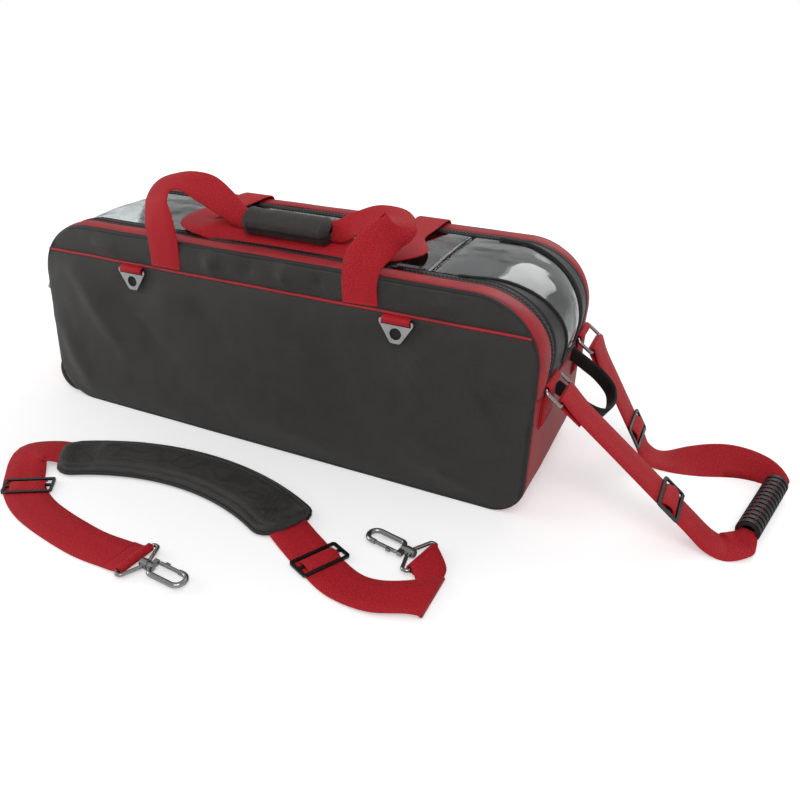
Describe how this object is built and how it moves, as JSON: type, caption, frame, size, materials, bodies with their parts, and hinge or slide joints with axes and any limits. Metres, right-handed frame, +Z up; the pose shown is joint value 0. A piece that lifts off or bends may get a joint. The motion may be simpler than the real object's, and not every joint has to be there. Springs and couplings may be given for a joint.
{
  "type": "bowling ball bag",
  "caption": "Long soft bowling ball tote with a clear zipped top, wheels at one end, wrapped carry handles, a pull strap and a detached padded shoulder strap.",
  "frame": {"origin": "centre of the bag's footprint on the floor", "axes": "+X along the bag to the pull-strap end, -Y the front, +Z up"},
  "size_m": [0.9732, 0.5337, 0.33],
  "materials": {
    "black_fabric": "matte",
    "red_fabric": "matte",
    "red_webbing": "matte",
    "black_webbing": "matte",
    "clear_film": "clear",
    "board": "matte",
    "foam": "matte",
    "housing_plastic": "matte",
    "wheel_urethane": "matte",
    "hub_plastic": "matte",
    "steel": "matte",
    "nickel": "bright",
    "gunmetal": "matte",
    "grip_rubber": "matte"
  },
  "bodies": {
    "bag": {"front_lower_panel": "black_fabric", "front_upper_band": "black_fabric", "back_panel": "black_fabric", "front_edge_piping": "black_fabric", "back_edge_piping": "black_fabric", "front_seam_piping": "red_fabric", "bottom_panel": "black_fabric", "left_end_panel": "red_fabric", "right_end_panel": "red_fabric", "front_gusset": "red_fabric", "back_gusset": "red_fabric", "zipper_tape": "black_webbing", "clear_window": "clear_film", "base_board": "board", "ball_cradle": "foam", "front_wheel_housing": "housing_plastic", "back_wheel_housing": "housing_plastic", "wheel_axles": "steel", "front_ring_tabs": "red_webbing", "left_ring_tab": "red_webbing", "pull_ring_tabs": "red_webbing", "end_grab_loop": "black_webbing"},
    "end_flap": {"clear_end_flap": "clear_film", "flap_binding": "black_webbing"},
    "front_wheel": {"front_wheel_tyre": "wheel_urethane", "front_wheel_hub": "hub_plastic", "front_wheel_bearings": "steel"},
    "back_wheel": {"back_wheel_tyre": "wheel_urethane", "back_wheel_hub": "hub_plastic", "back_wheel_bearings": "steel"},
    "left_slider": {"left_zip_slider": "gunmetal"},
    "right_slider": {"right_zip_slider": "gunmetal"},
    "front_handle": {"front_handle_webbing": "red_webbing", "grip_wrap": "black_fabric"},
    "back_handle": {"back_handle_webbing": "red_webbing"},
    "front_ring": {"front_pull_ring": "nickel"},
    "rear_ring": {"rear_pull_ring": "nickel"},
    "end_ring": {"left_end_ring": "nickel"},
    "left_triangle": {"left_tri_ring": "nickel"},
    "right_triangle": {"right_tri_ring": "nickel"},
    "pull_strap": {"pull_webbing": "red_webbing", "pull_grip": "grip_rubber"},
    "front_pull_slide": {"front_pull_adjuster": "gunmetal"},
    "rear_pull_slide": {"rear_pull_adjuster": "gunmetal"},
    "shoulder_strap": {"shoulder_pad": "black_fabric", "left_strap_webbing": "red_webbing", "right_strap_webbing": "red_webbing"},
    "left_strap_slide": {"left_strap_adjuster": "gunmetal"},
    "right_strap_slide": {"right_strap_adjuster": "gunmetal"},
    "left_loop": {"left_hook_loop": "nickel"},
    "left_hook": {"left_snap_hook": "nickel"},
    "left_gate": {"left_hook_gate": "nickel"},
    "right_loop": {"right_hook_loop": "nickel"},
    "right_hook": {"right_snap_hook": "nickel"},
    "right_gate": {"right_hook_gate": "nickel"}
  },
  "joints": [
    {"name": "front_wheel_spin", "type": "hinge", "parent": "bag", "child": "front_wheel", "pos_m": [-0.326, -0.0975, 0.029], "axis": [0, 1, 0], "continuous": true},
    {"name": "back_wheel_spin", "type": "hinge", "parent": "bag", "child": "back_wheel", "pos_m": [-0.326, 0.0975, 0.029], "axis": [0, 1, 0], "continuous": true},
    {"name": "end_flap_fold", "type": "hinge", "parent": "bag", "child": "end_flap", "pos_m": [0.2, 0, 0.26], "axis": [0, -1, 0], "range_deg": [0, 90]},
    {"name": "left_slider_run", "type": "slide", "parent": "bag", "child": "left_slider", "axis": [-1, 0, 0], "range_m": [0, 0.36]},
    {"name": "right_slider_run", "type": "slide", "parent": "bag", "child": "right_slider", "axis": [1, 0, 0], "range_m": [0, 0.06]},
    {"name": "front_handle_drop", "type": "hinge", "parent": "bag", "child": "front_handle", "pos_m": [0, -0.11765, 0.224], "axis": [1, 0, 0], "range_deg": [0, 130]},
    {"name": "back_handle_drop", "type": "hinge", "parent": "bag", "child": "back_handle", "pos_m": [0, 0.11765, 0.224], "axis": [-1, 0, 0], "range_deg": [0, 130]},
    {"name": "front_ring_swing", "type": "hinge", "parent": "bag", "child": "front_ring", "pos_m": [0.3473, -0.07, 0.155], "axis": [0, -1, 0], "range_deg": [0, 45]},
    {"name": "rear_ring_swing", "type": "hinge", "parent": "bag", "child": "rear_ring", "pos_m": [0.3473, 0.085, 0.155], "axis": [0, -1, 0], "range_deg": [0, 45]},
    {"name": "pull_strap_lift", "type": "hinge", "parent": "front_ring", "child": "pull_strap", "pos_m": [0.36567, -0.07, 0.14116], "axis": [0, -1, 0], "range_deg": [0, 70]},
    {"name": "end_ring_swing", "type": "hinge", "parent": "bag", "child": "end_ring", "pos_m": [-0.3473, -0.07, 0.178], "axis": [0, 1, 0], "range_deg": [-25, 90]},
    {"name": "left_triangle_swing", "type": "hinge", "parent": "bag", "child": "left_triangle", "pos_m": [-0.188, -0.12075, 0.2134], "axis": [-1, 0, 0], "range_deg": [0, 120]},
    {"name": "right_triangle_swing", "type": "hinge", "parent": "bag", "child": "right_triangle", "pos_m": [0.181, -0.12075, 0.2134], "axis": [-1, 0, 0], "range_deg": [0, 120]},
    {"name": "front_adjuster_run", "type": "slide", "parent": "pull_strap", "child": "front_pull_slide", "axis": [-0.7799, 0, 0.6259], "range_m": [0, 0.09]},
    {"name": "rear_adjuster_run", "type": "slide", "parent": "pull_strap", "child": "rear_pull_slide", "axis": [-0.5162, 0, 0.8564], "range_m": [0, 0.05]},
    {"name": "shoulder_strap_lift", "type": "slide", "parent": "bag", "child": "shoulder_strap", "axis": [0, 0, 1], "range_m": [0, 0.3]},
    {"name": "left_loop_fold", "type": "hinge", "parent": "shoulder_strap", "child": "left_loop", "pos_m": [0.005, -0.384, 0.007], "axis": [-0.1045, -0.9945, 0], "range_deg": [0, 75]},
    {"name": "left_hook_swivel", "type": "hinge", "parent": "left_loop", "child": "left_hook", "pos_m": [0.02489, -0.38609, 0.007], "axis": [0.9945, -0.1045, 0], "continuous": true},
    {"name": "left_gate_press", "type": "hinge", "parent": "left_hook", "child": "left_gate", "pos_m": [0.03464, -0.37756, 0.007], "axis": [0, 0, -1], "range_deg": [0, 22], "stiffness_Nm_per_rad": 0.02},
    {"name": "left_strap_adjuster_run", "type": "slide", "parent": "shoulder_strap", "child": "left_strap_slide", "axis": [-0.5241, 0.8517, 0], "range_m": [0, 0.014]},
    {"name": "right_loop_fold", "type": "hinge", "parent": "shoulder_strap", "child": "right_loop", "pos_m": [0.272, -0.243, 0.007], "axis": [0.2079, 0.9781, 0], "range_deg": [0, 75]},
    {"name": "right_hook_swivel", "type": "hinge", "parent": "right_loop", "child": "right_hook", "pos_m": [0.25244, -0.23884, 0.007], "axis": [-0.9781, 0.2079, 0], "continuous": true},
    {"name": "right_gate_press", "type": "hinge", "parent": "right_hook", "child": "right_gate", "pos_m": [0.24185, -0.2463, 0.007], "axis": [0, 0, -1], "range_deg": [0, 22], "stiffness_Nm_per_rad": 0.02},
    {"name": "right_strap_adjuster_run", "type": "slide", "parent": "shoulder_strap", "child": "right_strap_slide", "axis": [0.8944, -0.4472, 0], "range_m": [0, 0.018]}
  ],
  "couplings": [
    {"joint": "rear_ring_swing", "follows": "front_ring_swing", "ratio": 1}
  ]
}
